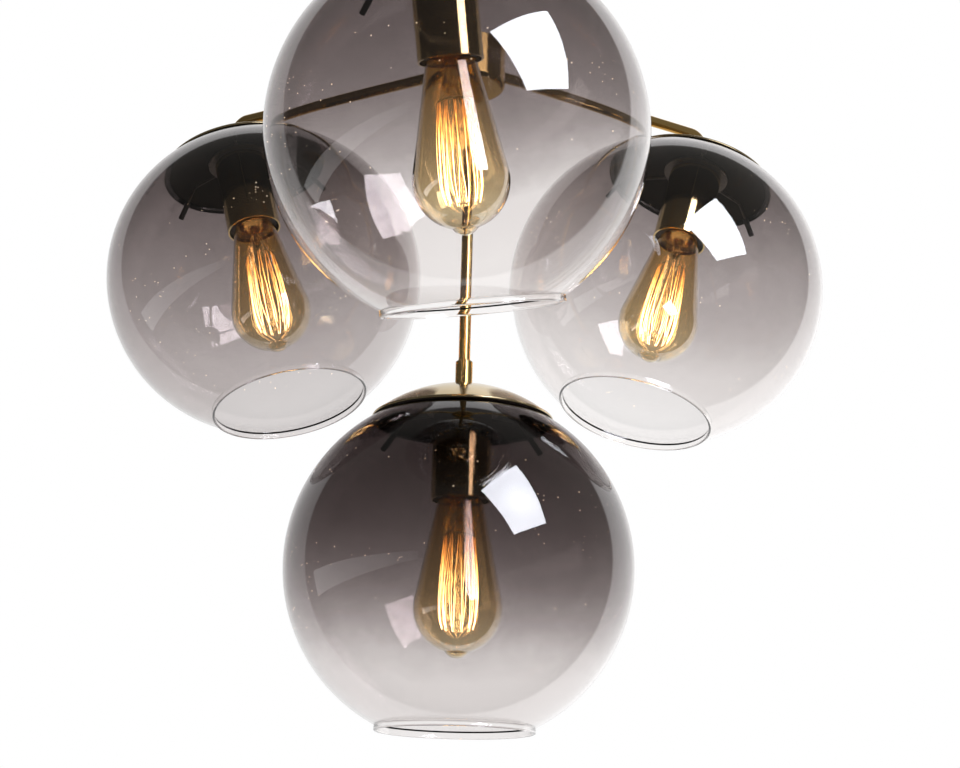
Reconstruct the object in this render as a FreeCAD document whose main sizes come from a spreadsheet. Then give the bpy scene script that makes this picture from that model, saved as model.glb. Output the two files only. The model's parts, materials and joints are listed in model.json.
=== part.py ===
"""Cluster pendant: three glass globes on bent arms round a hub, and a fourth on a stem below it.

Millimetres, +Z up.  The origin is the middle of the ceiling plane, and everything hangs below it.
Each lamp is drawn in a frame of its own, with its origin at the globe's centre and +Z to its cap.
"""
import FreeCAD
import Part
import Sketcher
import math
import os
import re

SIZES = {
    # ceiling plate and canopy
    "canopy_radius": 63.5,
    "canopy_depth": 28,
    "canopy_wall": 1.2,
    "canopy_bend": 10,
    "bar_length": 104,
    "bar_width": 20,
    "bar_thickness": 2.5,
    "slot_spacing": 79.4,
    "slot_length": 14,
    "slot_width": 5,
    "screw_spacing": 52,
    "screw_radius": 2,
    # swivel under the canopy
    "pivot_drop": 14,
    "pivot_radius": 2,
    "ear_radius": 7,
    "ear_thickness": 3,
    "ear_gap": 7,
    "tongue_length": 8,
    "socket_length": 10,
    # stems and hub
    "tube_radius": 4.3,
    "tube_bore": 3.2,
    "upper_stem": 300,
    "lower_stem": 223,
    "hub_radius": 26.5,
    "hub_height": 38,
    "hub_wall": 1.5,
    "hub_round": 4,
    "lid_thickness": 2,
    "coupler_radius": 6.35,
    "coupler_length": 20.5,
    "collar_length": 5.3,
    # arms
    "arm_reach": 232.2,
    "arm_bend": 12,
    "arm_stub": 1.6,
    "tilt": 16.6,
    "trio_turn": -89.7,
    "front_turn": -6.8,
    "front_lean": 5,
    # glass globes
    "globe_radius": 125,
    "glass_wall": 2.4,
    "hole_cover": 5.3,
    "trio_mouth": 62,
    "bottom_mouth": 57.5,
    "lip_drop": 4,
    "lip_bead": 2.1,
    # domed caps
    "cap_radius": 66.3,
    "cap_proud": 8.54,
    "cap_wall": 1.3,
    "cap_bead": 1.3,
    "seat_gap": 0.3,
    "slip_gap": 0.05,
    "spigot_radius": 4.9,
    "spigot_bore": 3,
    # spring clips that hold a globe
    "plate_rise": 6.4,
    "plate_radius": 27,
    "plate_thickness": 1.5,
    "boss_radius": 8,
    "wire_radius": 1,
    "wire_slope": 48,
    "wire_bend": 4,
    "wire_length": 28.5,
    "sleeve_radius": 2.25,
    "sleeve_start": 14,
    "sleeve_length": 16,
    # socket cup and lampholder
    "cup_radius": 21.6,
    "cup_length": 66.5,
    "cup_wall": 1.2,
    "nut_radius": 8,
    "nut_height": 4,
    "holder_inset": 4,
    "holder_height": 52,
    "shell_radius": 13.2,
    "shell_wall": 0.9,
    "shell_depth": 24,
    "spigot_reach": 11,
    # bulbs
    "bulb_radius": 32,
    "bulb_reach": 113.5,
    "belly_height": 35.5,
    "flare_angle": 11.65,
    "neck_radius": 16.6,
    "pip_radius": 8.5,
    "bulb_wall": 0.8,
    "throat_radius": 12.2,
    "throat_length": 6,
    "base_radius": 13.1,
    "base_inset": 3,
    "base_length": 26.5,
    "base_wall": 0.8,
    "rod_radius": 1.6,
    "strand_radius": 0.35,
    "strand_bend": 4,
    "cage_radius": 12.5,
    "cage_top": 84,
    "cage_foot": 30,
}
STRANDS = 12
CLIPS = 3
# Each arm's turn about the hub, and how far it is rolled about itself.
ARMS = {
    "front": ("trio_turn + front_turn", "front_lean"),
    "right": ("trio_turn + 120", "0"),
    "left": ("trio_turn + 240", "0"),
}

# Heights down from the ceiling.
PIVOT = "(-canopy_depth - pivot_drop)"
STEM_TOP = f"({PIVOT} - tongue_length - socket_length)"
HUB_TOP = f"({STEM_TOP} - upper_stem)"
HUB_FOOT = f"({HUB_TOP} - hub_height)"
ARM_LEVEL = f"({HUB_TOP} - hub_height / 2)"

# Heights in a lamp's own frame, up from the globe's centre.
BEAD_X = "(cap_radius - cap_bead)"
RIM = f"sqrt((globe_radius + seat_gap + cap_bead)^2 - {BEAD_X}^2)"
POLE = "(globe_radius + cap_proud)"
CAP_RISE = f"({POLE} - {RIM})"
DOME = f"((cap_radius^2 + {CAP_RISE}^2) / (2 * {CAP_RISE}))"
DOME_CENTRE = f"({POLE} - {DOME})"
CUP_TOP = f"({RIM} + plate_rise)"
CUP_MOUTH = f"({CUP_TOP} - cup_length)"
BULB_TIP = f"({CUP_MOUTH} - bulb_reach)"
BASE_FOOT = f"({CUP_MOUTH} + base_inset)"
HOLDER_FOOT = f"({CUP_MOUTH} + holder_inset)"
HOLE = "(cap_radius - hole_cover)"

# Where the globes' centres stand.
BEND_REACH = "(arm_bend * tan(45 + tilt / 2))"
ARM_DROP = f"({POLE} + collar_length + {BEND_REACH} + 2 * slip_gap)"
TRIO_RADIUS = f"(arm_reach - {ARM_DROP} * sin(tilt))"
TRIO_DROP = f"(-{ARM_DROP} * cos(tilt))"
BOTTOM_HEIGHT = f"({HUB_FOOT} - lower_stem - coupler_length - {POLE})"


def on_sphere(x, radius):
    """Height at distance x from the axis of a sphere about the origin."""
    return f"sqrt(({radius})^2 - ({x})^2)"


doc = FreeCAD.newDocument("cluster_pendant")
sheet = doc.addObject("Spreadsheet::Sheet", "sizes")
pieces = []


def fill_sheet():
    for row, (alias, size) in enumerate(SIZES.items(), start=1):
        sheet.set(f"A{row}", alias)
        sheet.set(f"B{row}", str(size))
        sheet.setAlias(f"B{row}", alias)
    doc.recompute()


def sized(text):
    """The expression with each size's name pointed at its cell."""
    def cell(word):
        name = word.group()
        return f"sizes.{name}" if name in SIZES else name
    return re.sub(r"[a-z_]+", cell, text)


def number(text):
    return float(sheet.evalExpression(sized(text)))


def bind(thing, prop, text):
    thing.setExpression(prop, sized(text))


# ---------------------------------------------------------------- sketches and features

def new_body(label):
    body = doc.addObject("PartDesign::Body", label)
    body.Label = label
    pieces.append(body)
    return body


def origin_part(body, role):
    return next(item for item in body.Origin.OriginFeatures if item.Role == role)


def new_sketch(body, role, lift="0", spin="0"):
    """Sketch on one of the body's planes, moved out by lift and turned about its own upright."""
    sketch = body.newObject("Sketcher::SketchObject", "Sketch")
    sketch.AttachmentSupport = [(origin_part(body, role), "")]
    sketch.MapMode = "FlatFace"
    if spin != "0":
        about = FreeCAD.Rotation(FreeCAD.Vector(0, 1, 0), number(spin))
        sketch.AttachmentOffset = FreeCAD.Placement(FreeCAD.Vector(), about)
        bind(sketch, "AttachmentOffset.Rotation.Angle", spin)
    if lift != "0":
        sketch.AttachmentOffset = FreeCAD.Placement(FreeCAD.Vector(0, 0, number(lift)), FreeCAD.Rotation())
        bind(sketch, "AttachmentOffset.Base.z", lift)
    return sketch


def pin_point(sketch, edge, end, x, y):
    """Fix one end of an edge at (x, y); a zero puts it on the axis."""
    for kind, text, axis in (("DistanceX", x, -2), ("DistanceY", y, -1)):
        if text == "0":
            sketch.addConstraint(Sketcher.Constraint("PointOnObject", edge, end, axis))
        else:
            pin = sketch.addConstraint(Sketcher.Constraint(kind, -1, 1, edge, end, number(text)))
            bind(sketch, f"Constraints[{pin}]", text)


def arc_between(start, end, radius, turn):
    """The short arc from start to end: turn is 1 anticlockwise, -1 clockwise."""
    first, last = (start, end) if turn > 0 else (end, start)
    half = (last - first) * 0.5
    rise = math.sqrt(max(radius ** 2 - half.Length ** 2, 0))
    side = FreeCAD.Vector(-half.y, half.x, 0)
    side.normalize()
    centre = first + half + side * rise
    angles = [math.atan2(point.y - centre.y, point.x - centre.x) for point in (first, last)]
    if angles[1] < angles[0]:
        angles[1] += 2 * math.pi
    circle = Part.Circle(centre, FreeCAD.Vector(0, 0, 1), radius)
    return Part.ArcOfCircle(circle, *angles)


def draw(sketch, corners, closed=True):
    """Outline through (x, y) corners; a corner with (radius, turn) is left along an arc."""
    spots = [FreeCAD.Vector(number(corner[0]), number(corner[1]), 0) for corner in corners]
    count = len(corners) if closed else len(corners) - 1
    edges = []
    for index in range(count):
        start, end = spots[index], spots[(index + 1) % len(spots)]
        bow = corners[index][2:]
        if bow:
            edge = sketch.addGeometry(arc_between(start, end, number(bow[0]), bow[1]), False)
            edges.append((edge, 1, 2) if bow[1] > 0 else (edge, 2, 1))
        else:
            edges.append((sketch.addGeometry(Part.LineSegment(start, end), False), 1, 2))
    for index, (edge, first, last) in enumerate(edges):
        pin_point(sketch, edge, first, *corners[index][:2])
        if index + 1 < len(edges) or closed:
            after = edges[(index + 1) % len(edges)]
            sketch.addConstraint(Sketcher.Constraint("Coincident", edge, last, after[0], after[1]))
        else:
            pin_point(sketch, edge, last, *corners[-1][:2])
        bow = corners[index][2:]
        if bow:
            pin = sketch.addConstraint(Sketcher.Constraint("Radius", edge, number(bow[0])))
            bind(sketch, f"Constraints[{pin}]", bow[0])
    return sketch


def ring(sketch, x, y, radius):
    spot = FreeCAD.Vector(number(x), number(y), 0)
    circle = Part.Circle(spot, FreeCAD.Vector(0, 0, 1), number(radius))
    edge = sketch.addGeometry(circle, False)
    pin_point(sketch, edge, 3, x, y)
    pin = sketch.addConstraint(Sketcher.Constraint("Radius", edge, number(radius)))
    bind(sketch, f"Constraints[{pin}]", radius)
    return sketch


def turn(body, sketch, cut=False):
    """Turn a sketch in the XZ plane about the body's Z axis."""
    feature = body.newObject("PartDesign::Groove" if cut else "PartDesign::Revolution", "Turned")
    feature.Profile = sketch
    feature.ReferenceAxis = (sketch, ["V_Axis"])
    feature.Angle = 360
    sketch.Visibility = False
    return feature


def extrude(body, sketch, length, cut=False, middle=False, back=False):
    feature = body.newObject("PartDesign::Pocket" if cut else "PartDesign::Pad", "Extruded")
    feature.Profile = sketch
    feature.Length = number(length)
    bind(feature, "Length", length)
    if middle:
        feature.Midplane = True
    feature.Reversed = back
    return feature


def pipe(body, profile, path):
    feature = body.newObject("PartDesign::AdditivePipe", "Pipe")
    feature.Profile = profile
    feature.Spine = path
    return feature


def repeat_round(body, feature, count):
    pattern = body.newObject("PartDesign::PolarPattern", "Round")
    pattern.Originals = [feature]
    pattern.Axis = (origin_part(body, "Z_Axis"), [""])
    pattern.Angle = 360
    pattern.Occurrences = count
    body.Tip = pattern
    return pattern


def turned_body(label, corners):
    body = new_body(label)
    turn(body, draw(new_sketch(body, "XZ_Plane"), corners))
    return body


def drop(body, height, spin="0"):
    """Hang a body on the fixture's axis."""
    body.Placement = FreeCAD.Placement(
        FreeCAD.Vector(0, 0, number(height)),
        FreeCAD.Rotation(FreeCAD.Vector(0, 0, 1), number(spin)),
    )


def copies(label, source, spots):
    """One node that holds the same piece at several places."""
    doc.recompute()
    group = doc.addObject("Part::Feature", label)
    group.Label = label
    group.Shape = Part.makeCompound([source.Shape.transformed(spot.toMatrix(), True) for spot in spots])
    pieces.append(group)
    return group


def ear_outline(sketch, radius, foot):
    """Tab with a round end about the origin and straight sides down or up to foot."""
    side, sign = (1, "") if number(foot) < 0 else (-1, "-")
    return draw(sketch, [
        (radius, foot),
        (radius, "0", radius, side),
        ("0", f"{sign}({radius})", radius, side),
        (f"-({radius})", "0"),
        (f"-({radius})", foot),
    ])


# ---------------------------------------------------------------- ceiling plate, canopy and swivel

def ceiling_bar():
    """Steel strap that bolts to the ceiling box through two slots."""
    body = new_body("ceiling_bar")
    half = ("bar_length / 2", "bar_width / 2")
    corners = [("-" + half[0], "-" + half[1]), (half[0], "-" + half[1]), half, ("-" + half[0], half[1])]
    extrude(body, draw(new_sketch(body, "XY_Plane"), corners), "bar_thickness", back=True)
    holes = new_sketch(body, "XY_Plane")
    for side in ("-", ""):
        near = f"{side}(slot_spacing / 2 - slot_length / 2 + slot_width / 2)"
        far = f"{side}(slot_spacing / 2 + slot_length / 2 - slot_width / 2)"
        left, right = (far, near) if side else (near, far)
        draw(holes, [
            (left, "-slot_width / 2"),
            (right, "-slot_width / 2", "slot_width / 2", 1),
            (f"{right} + slot_width / 2", "0", "slot_width / 2", 1),
            (right, "slot_width / 2"),
            (left, "slot_width / 2", "slot_width / 2", 1),
            (f"{left} - slot_width / 2", "0", "slot_width / 2", 1),
        ])
        ring(holes, f"{side}screw_spacing / 2", "0", "screw_radius + slip_gap")
    ring(holes, "0", "0", "nut_radius + 1")
    extrude(body, holes, "bar_thickness + 1", cut=True)
    return body


def canopy():
    """Spun dish against the ceiling, with a hole for the swivel and two for its screws."""
    body = new_body("canopy")
    turn(body, draw(new_sketch(body, "XZ_Plane"), [
        ("canopy_radius", "0"),
        ("canopy_radius - canopy_wall", "0"),
        ("canopy_radius - canopy_wall", "canopy_bend - canopy_depth", "canopy_bend - canopy_wall", -1),
        ("canopy_radius - canopy_bend", "canopy_wall - canopy_depth"),
        ("spigot_radius + slip_gap", "canopy_wall - canopy_depth"),
        ("spigot_radius + slip_gap", "-canopy_depth"),
        ("canopy_radius - canopy_bend", "-canopy_depth", "canopy_bend", 1),
        ("canopy_radius", "canopy_bend - canopy_depth"),
    ]))
    holes = new_sketch(body, "XY_Plane")
    for side in ("-", ""):
        ring(holes, f"{side}screw_spacing / 2", "0", "screw_radius + slip_gap")
    extrude(body, holes, "canopy_depth + 1", cut=True)
    return body


def canopy_screws():
    """Two dome-headed screws from under the canopy up into the ceiling bar."""
    screw = doc.addObject("PartDesign::Body", "canopy_screw")
    turn(screw, draw(new_sketch(screw, "XZ_Plane"), [
        ("0", "-0.5"),
        ("screw_radius", "-0.5"),
        ("screw_radius", "-canopy_depth - slip_gap"),
        ("screw_radius * 2.2", "-canopy_depth - slip_gap"),
        ("screw_radius * 2.2", "-canopy_depth - slip_gap - 0.6", "screw_radius * 2.9", -1),
        ("0", "-canopy_depth - screw_radius - slip_gap"),
    ]))
    shift = number("screw_spacing / 2")
    spots = [FreeCAD.Placement(FreeCAD.Vector(side * shift, 0, 0), FreeCAD.Rotation()) for side in (-1, 1)]
    return copies("canopy_screws", screw, spots)


def swivel_fork():
    """Turns in the canopy's hole and carries the pin, which lies along X."""
    body = new_body("swivel_fork")
    turn(body, draw(new_sketch(body, "XZ_Plane"), [
        ("spigot_bore", "pivot_drop + canopy_wall + nut_height + 2"),
        ("spigot_radius", "pivot_drop + canopy_wall + nut_height + 2"),
        ("spigot_radius", "pivot_drop - slip_gap"),
        ("ear_radius + 2", "pivot_drop - slip_gap"),
        ("ear_radius + 2", "pivot_drop - 3"),
        ("spigot_bore", "pivot_drop - 3"),
    ]))
    side = ear_outline(new_sketch(body, "YZ_Plane"), "ear_radius", "pivot_drop - 2.5")
    extrude(body, side, "ear_gap + 2 * ear_thickness", middle=True)
    gap = new_sketch(body, "YZ_Plane")
    draw(gap, [
        ("-ear_radius - 1", "-ear_radius - 1"),
        ("ear_radius + 1", "-ear_radius - 1"),
        ("ear_radius + 1", "pivot_drop - 3"),
        ("-ear_radius - 1", "pivot_drop - 3"),
    ])
    extrude(body, gap, "ear_gap", cut=True, middle=True)
    bore = ring(new_sketch(body, "YZ_Plane"), "0", "0", "pivot_radius + slip_gap")
    extrude(body, bore, "ear_gap + 4 * ear_thickness", cut=True, middle=True)
    drop(body, PIVOT)
    return body


def hexagon_nut(label):
    """Nut that fits over a spigot."""
    blank = doc.addObject("Part::Prism", f"{label}_blank")
    blank.Polygon = 6
    bind(blank, "Circumradius", "nut_radius")
    bind(blank, "Height", "nut_height")
    bore = doc.addObject("Part::Cylinder", f"{label}_bore")
    bind(bore, "Radius", "spigot_radius + slip_gap")
    bind(bore, "Height", "nut_height")
    nut = doc.addObject("Part::Cut", label)
    nut.Base = blank
    nut.Tool = bore
    nut.Label = label
    return nut


def swivel_nut():
    """Nut inside the canopy that carries the fork."""
    nut = hexagon_nut("swivel_nut")
    drop(nut, "-canopy_depth + canopy_wall + slip_gap")
    pieces.append(nut)
    return nut


def swivel_pin():
    """Headed rivet through the fork and the tongue."""
    end = "(ear_gap / 2 + ear_thickness + 0.1)"
    body = turned_body("swivel_pin", [
        ("0", f"-{end} - 1"),
        ("pivot_radius + 1", f"-{end} - 1"),
        ("pivot_radius + 1", f"-{end}"),
        ("pivot_radius", f"-{end}"),
        ("pivot_radius", end),
        ("pivot_radius + 1", end),
        ("pivot_radius + 1", f"{end} + 1"),
        ("0", f"{end} + 1"),
    ])
    body.Placement = FreeCAD.Placement(
        FreeCAD.Vector(0, 0, number(PIVOT)),
        FreeCAD.Rotation(FreeCAD.Vector(0, 1, 0), 90),
    )
    return body


def swivel_tongue():
    """Flat tongue between the fork's ears, with a socket below for the stem."""
    body = new_body("swivel_tongue")
    side = ear_outline(new_sketch(body, "YZ_Plane"), "ear_radius - 1", "-tongue_length - 1")
    extrude(body, side, "ear_gap - 0.2", middle=True)
    turn(body, draw(new_sketch(body, "XZ_Plane"), [
        ("0", "-tongue_length"),
        ("coupler_radius", "-tongue_length"),
        ("coupler_radius", "-tongue_length - socket_length"),
        ("tube_radius + slip_gap", "-tongue_length - socket_length"),
        ("tube_radius + slip_gap", "-tongue_length - 2"),
        ("0", "-tongue_length - 2"),
    ]))
    bore = ring(new_sketch(body, "YZ_Plane"), "0", "0", "pivot_radius + slip_gap")
    extrude(body, bore, "ear_gap + 2", cut=True, middle=True)
    drop(body, PIVOT)
    return body


# ---------------------------------------------------------------- stems, hub and arms

def tube(label, top, foot):
    return turned_body(label, [
        ("tube_bore", foot),
        ("tube_radius", foot),
        ("tube_radius", top),
        ("tube_bore", top),
    ])


def upper_stem():
    return tube("upper_stem", f"{STEM_TOP} + socket_length - 2.1", f"{HUB_TOP} - 8")


def lower_stem():
    return tube("lower_stem", f"{HUB_FOOT} + 8", f"{HUB_FOOT} - lower_stem - coupler_length / 2 + slip_gap")


def hub_shell(spins):
    """Round can whose side takes the three arms and whose foot takes the lower stem."""
    body = new_body("hub_shell")
    top = "hub_height - lid_thickness"
    turn(body, draw(new_sketch(body, "XZ_Plane"), [
        ("tube_radius + slip_gap", "0"),
        ("hub_radius - hub_round", "0", "hub_round", 1),
        ("hub_radius", "hub_round"),
        ("hub_radius", top),
        ("hub_radius - hub_wall", top),
        ("hub_radius - hub_wall", "hub_round", "hub_round - hub_wall", -1),
        ("hub_radius - hub_round", "hub_wall"),
        ("tube_radius + slip_gap", "hub_wall"),
    ]))
    for spin in spins:
        side = new_sketch(body, "YZ_Plane", spin=spin)
        hole = ring(side, "0", "hub_height / 2", "tube_radius + slip_gap")
        extrude(body, hole, "hub_radius + 1", cut=True, back=True)
    drop(body, HUB_FOOT)
    return body


def hub_lid():
    """Stepped disc that closes the top of the hub round the upper stem."""
    body = turned_body("hub_lid", [
        ("tube_radius + slip_gap", "0"),
        ("hub_radius - 1", "0", "1", -1),
        ("hub_radius", "-1"),
        ("hub_radius", "-lid_thickness"),
        ("hub_radius - hub_wall - 0.2", "-lid_thickness"),
        ("hub_radius - hub_wall - 0.2", "-lid_thickness - 1.5"),
        ("tube_radius + slip_gap", "-lid_thickness - 1.5"),
    ])
    drop(body, HUB_TOP)
    return body


def arm(label, place):
    """Tube straight out of the hub that bends down and back in, on to the cap's tilted pole."""
    body = new_body(label)
    start = "(hub_radius - hub_wall - 7)"
    stub = f"({BEND_REACH} + arm_stub)"
    path = draw(new_sketch(body, "XZ_Plane"), [
        (start, "0"),
        (f"arm_reach - {BEND_REACH}", "0", "arm_bend", -1),
        (f"arm_reach - {BEND_REACH} * sin(tilt)", f"-{BEND_REACH} * cos(tilt)"),
        (f"arm_reach - {stub} * sin(tilt)", f"-{stub} * cos(tilt)"),
    ], closed=False)
    section = new_sketch(body, "YZ_Plane", start)
    ring(section, "0", "0", "tube_radius")
    ring(section, "0", "0", "tube_bore")
    pipe(body, section, path)
    body.Placement = place
    return body


# ---------------------------------------------------------------- one lamp

def coupler(name, length, depth):
    """Bevelled collar on the cap's pole: a tube stands in its top, its spigot goes down the lamp."""
    foot = f"{CUP_TOP} - spigot_reach"
    seat = f"({POLE} + slip_gap)"
    top = f"({POLE} + {length})"
    floor = f"{top} - {depth}"
    bevel = "0.8"
    return turned_body(f"{name}_coupler", [
        ("spigot_bore", foot),
        ("spigot_radius", foot),
        ("spigot_radius", seat),
        (f"coupler_radius - {bevel}", seat),
        ("coupler_radius", f"{seat} + {bevel}"),
        ("coupler_radius", f"{top} - {bevel}"),
        (f"coupler_radius - {bevel}", top),
        ("tube_radius + slip_gap", top),
        ("tube_radius + slip_gap", floor),
        ("spigot_bore", floor),
    ])


def cap(name):
    """Shallow spun dome with a rolled edge that sits on the top of the globe."""
    bore = "(spigot_radius + slip_gap)"
    inner = f"({DOME} - cap_wall)"
    body = turned_body(f"{name}_cap", [
        (bore, f"{DOME_CENTRE} + {on_sphere(bore, DOME)}", DOME, -1),
        (BEAD_X, f"{DOME_CENTRE} + {on_sphere(BEAD_X, DOME)}"),
        (BEAD_X, f"{DOME_CENTRE} + {on_sphere(BEAD_X, inner)}", inner, 1),
        (bore, f"{DOME_CENTRE} + {on_sphere(bore, inner)}"),
    ])
    turn(body, ring(new_sketch(body, "XZ_Plane"), BEAD_X, RIM, "cap_bead"))
    return body


def globe(name, mouth):
    """Blown globe open at both ends, with a thick round lip at the mouth."""
    lip_x = f"({mouth} - lip_bead)"
    outside = f"({lip_x} + glass_wall / 2)"
    inside = f"({lip_x} - glass_wall / 2)"
    inner = "(globe_radius - glass_wall)"
    lip_height = f"(-{on_sphere(lip_x, 'globe_radius - glass_wall / 2')} - lip_drop)"
    body = turned_body(f"{name}_globe", [
        (HOLE, on_sphere(HOLE, "globe_radius"), "globe_radius", -1),
        (outside, f"-{on_sphere(outside, 'globe_radius')}"),
        (outside, lip_height),
        (inside, lip_height),
        (inside, f"-{on_sphere(inside, inner)}", inner, 1),
        (HOLE, on_sphere(HOLE, inner)),
    ])
    turn(body, ring(new_sketch(body, "XZ_Plane"), lip_x, lip_height, "lip_bead"))
    return body


# The wire runs level from the plate, then down under the edge of the globe's hole.
WIRE_LEVEL = f"({CUP_TOP} + plate_thickness / 2)"
HOLE_EDGE = on_sphere(HOLE, "globe_radius - glass_wall")
WIRE_REACH = (
    f"(({HOLE} * sin(wire_slope) + {HOLE_EDGE} * cos(wire_slope) - sleeve_radius - seat_gap"
    f" - {WIRE_LEVEL} * cos(wire_slope)) / sin(wire_slope))"
)


def globe_clip(name):
    """Plate on top of the socket cup with three sprung wires that hold the globe from inside."""
    dome_inside = f"({DOME_CENTRE} + {on_sphere('boss_radius', f'{DOME} - cap_wall')})"
    plate_top = f"({CUP_TOP} + plate_thickness)"
    body = turned_body(f"{name}_clip", [
        ("spigot_radius + slip_gap", f"{CUP_TOP}"),
        ("plate_radius", f"{CUP_TOP}"),
        ("plate_radius", plate_top),
        ("boss_radius", plate_top),
        ("boss_radius", f"{dome_inside} - seat_gap"),
        ("spigot_radius + slip_gap", f"{dome_inside} - seat_gap"),
    ])
    start = "(plate_radius - 5)"
    ease = "(wire_bend * tan(wire_slope / 2))"
    path = draw(new_sketch(body, "XZ_Plane"), [
        (start, WIRE_LEVEL),
        (f"{WIRE_REACH} - {ease}", WIRE_LEVEL, "wire_bend", -1),
        (f"{WIRE_REACH} + {ease} * cos(wire_slope)", f"{WIRE_LEVEL} - {ease} * sin(wire_slope)"),
        (f"{WIRE_REACH} + wire_length * cos(wire_slope)", f"{WIRE_LEVEL} - wire_length * sin(wire_slope)"),
    ], closed=False)
    section = ring(new_sketch(body, "YZ_Plane", start), "0", WIRE_LEVEL, "wire_radius")
    repeat_round(body, pipe(body, section, path), CLIPS)
    return body


def clip_sleeves(lamps):
    """Soft sleeves over the wires' ends, at all four lamps."""
    sleeve = doc.addObject("PartDesign::Body", "clip_sleeve")
    blind = "(wire_length + slip_gap - sleeve_start)"
    turn(sleeve, draw(new_sketch(sleeve, "XZ_Plane"), [
        ("0", blind),
        ("wire_radius + slip_gap", blind),
        ("wire_radius + slip_gap", "0"),
        ("sleeve_radius", "0"),
        ("sleeve_radius", "sleeve_length - 1", "1", 1),
        ("sleeve_radius - 1", "sleeve_length"),
        ("0", "sleeve_length"),
    ]))
    slope = math.radians(number("wire_slope"))
    start = number("sleeve_start")
    spot = FreeCAD.Vector(
        number(WIRE_REACH) + start * math.cos(slope),
        0,
        number(WIRE_LEVEL) - start * math.sin(slope),
    )
    lean = FreeCAD.Rotation(FreeCAD.Vector(0, 1, 0), 90 + number("wire_slope"))
    spots = []
    for place in lamps:
        for step in range(CLIPS):
            spin = FreeCAD.Rotation(FreeCAD.Vector(0, 0, 1), step * 360 / CLIPS)
            spots.append(place * FreeCAD.Placement(FreeCAD.Vector(), spin) * FreeCAD.Placement(spot, lean))
    return copies("clip_sleeves", sleeve, spots)


def socket_cup(name):
    """Tall brass cup, open below, that hides the lampholder."""
    edge = "1.5"
    return turned_body(f"{name}_socket_cup", [
        ("cup_radius - cup_wall", CUP_MOUTH),
        ("cup_radius", CUP_MOUTH),
        ("cup_radius", f"{CUP_TOP} - {edge}", edge, 1),
        (f"cup_radius - {edge}", CUP_TOP),
        ("spigot_radius + slip_gap", CUP_TOP),
        ("spigot_radius + slip_gap", f"{CUP_TOP} - cup_wall"),
        ("cup_radius - cup_wall", f"{CUP_TOP} - cup_wall"),
    ])


def lamp_nuts(lamps):
    """Nuts on the spigots that clamp cup, clip and cap together."""
    rise = number(f"{CUP_TOP} - cup_wall - nut_height - slip_gap")
    lift = FreeCAD.Placement(FreeCAD.Vector(0, 0, rise), FreeCAD.Rotation())
    return copies("lamp_nuts", hexagon_nut("lamp_nut"), [place * lift for place in lamps])


def lampholder(name):
    """Black insulating body inside the cup; the spigot screws into its top."""
    outside = "(cup_radius - cup_wall - seat_gap)"
    cavity = "(shell_radius + shell_wall + slip_gap)"
    floor = f"({BASE_FOOT} + base_length + 1)"
    top = f"({HOLDER_FOOT} + holder_height)"
    return turned_body(f"{name}_lampholder", [
        (cavity, HOLDER_FOOT),
        (outside, HOLDER_FOOT),
        (outside, f"{top} - 4"),
        (f"{outside} - 4", top),
        ("spigot_radius + slip_gap", top),
        ("spigot_radius + slip_gap", f"{CUP_TOP} - spigot_reach - 1"),
        ("0", f"{CUP_TOP} - spigot_reach - 1"),
        ("0", floor),
        (cavity, floor),
    ])


def socket_shell(name):
    """Brass sleeve in the lampholder that takes the bulb's screw cap."""
    foot = f"({HOLDER_FOOT} + 1)"
    return turned_body(f"{name}_socket_shell", [
        ("shell_radius", foot),
        ("shell_radius + shell_wall", foot),
        ("shell_radius + shell_wall", f"{foot} + shell_depth"),
        ("shell_radius", f"{foot} + shell_depth"),
    ])


def bulb_base(name):
    """Screw cap: a hollow barrel, a shoulder and the contact on top."""
    top = f"({BASE_FOOT} + base_length)"
    return turned_body(f"{name}_bulb_base", [
        ("base_radius - base_wall", BASE_FOOT),
        ("base_radius", BASE_FOOT),
        ("base_radius", f"{top} - 6"),
        ("base_radius * 0.42", f"{top} - 2"),
        ("base_radius * 0.36", f"{top} - 0.4"),
        ("base_radius * 0.2", top),
        ("0", top),
        ("0", f"{top} - 7"),
        ("base_radius - base_wall", f"{top} - 7"),
    ])


def belly(x, inset):
    """Height above the tip of the round part of the bulb's wall, at distance x from its axis."""
    return f"(belly_height - {on_sphere(x, f'bulb_radius - {inset}')})"


def bulb_side(inset):
    """Half of the bulb's wall from the tip up to the throat, moved in by inset."""
    round_radius = f"(bulb_radius - {inset})"
    pip = f"(pip_radius - {inset})"
    pip_height = f"({belly(pip, inset)} - {inset})"
    pip_round = f"(({pip}^2 + {pip_height}^2) / (2 * {pip_height}))"
    return [
        ("0", f"{BULB_TIP} + {inset}", pip_round, 1),
        (pip, f"{BULB_TIP} + {belly(pip, inset)}", round_radius, 1),
        (
            f"{round_radius} * cos(flare_angle)",
            f"{BULB_TIP} + belly_height + {round_radius} * sin(flare_angle)",
        ),
        (f"neck_radius - {inset}", CUP_MOUTH),
        (f"throat_radius - {inset}", f"{BASE_FOOT} - 0.2"),
        (f"throat_radius - {inset}", f"{BASE_FOOT} + throat_length"),
    ]


def bulb_glass(name):
    """Teardrop bulb with a pip at the tip, a long cone and a throat inside the screw cap."""
    outside = bulb_side("0")
    inside = bulb_side("bulb_wall")
    back = [inside[-1], inside[-2], inside[-3], (*inside[-4][:2], inside[1][2], -1)]
    back += [(*inside[1][:2], inside[0][2], -1), inside[0][:2]]
    return turned_body(f"{name}_bulb_glass", outside + back)


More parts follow.
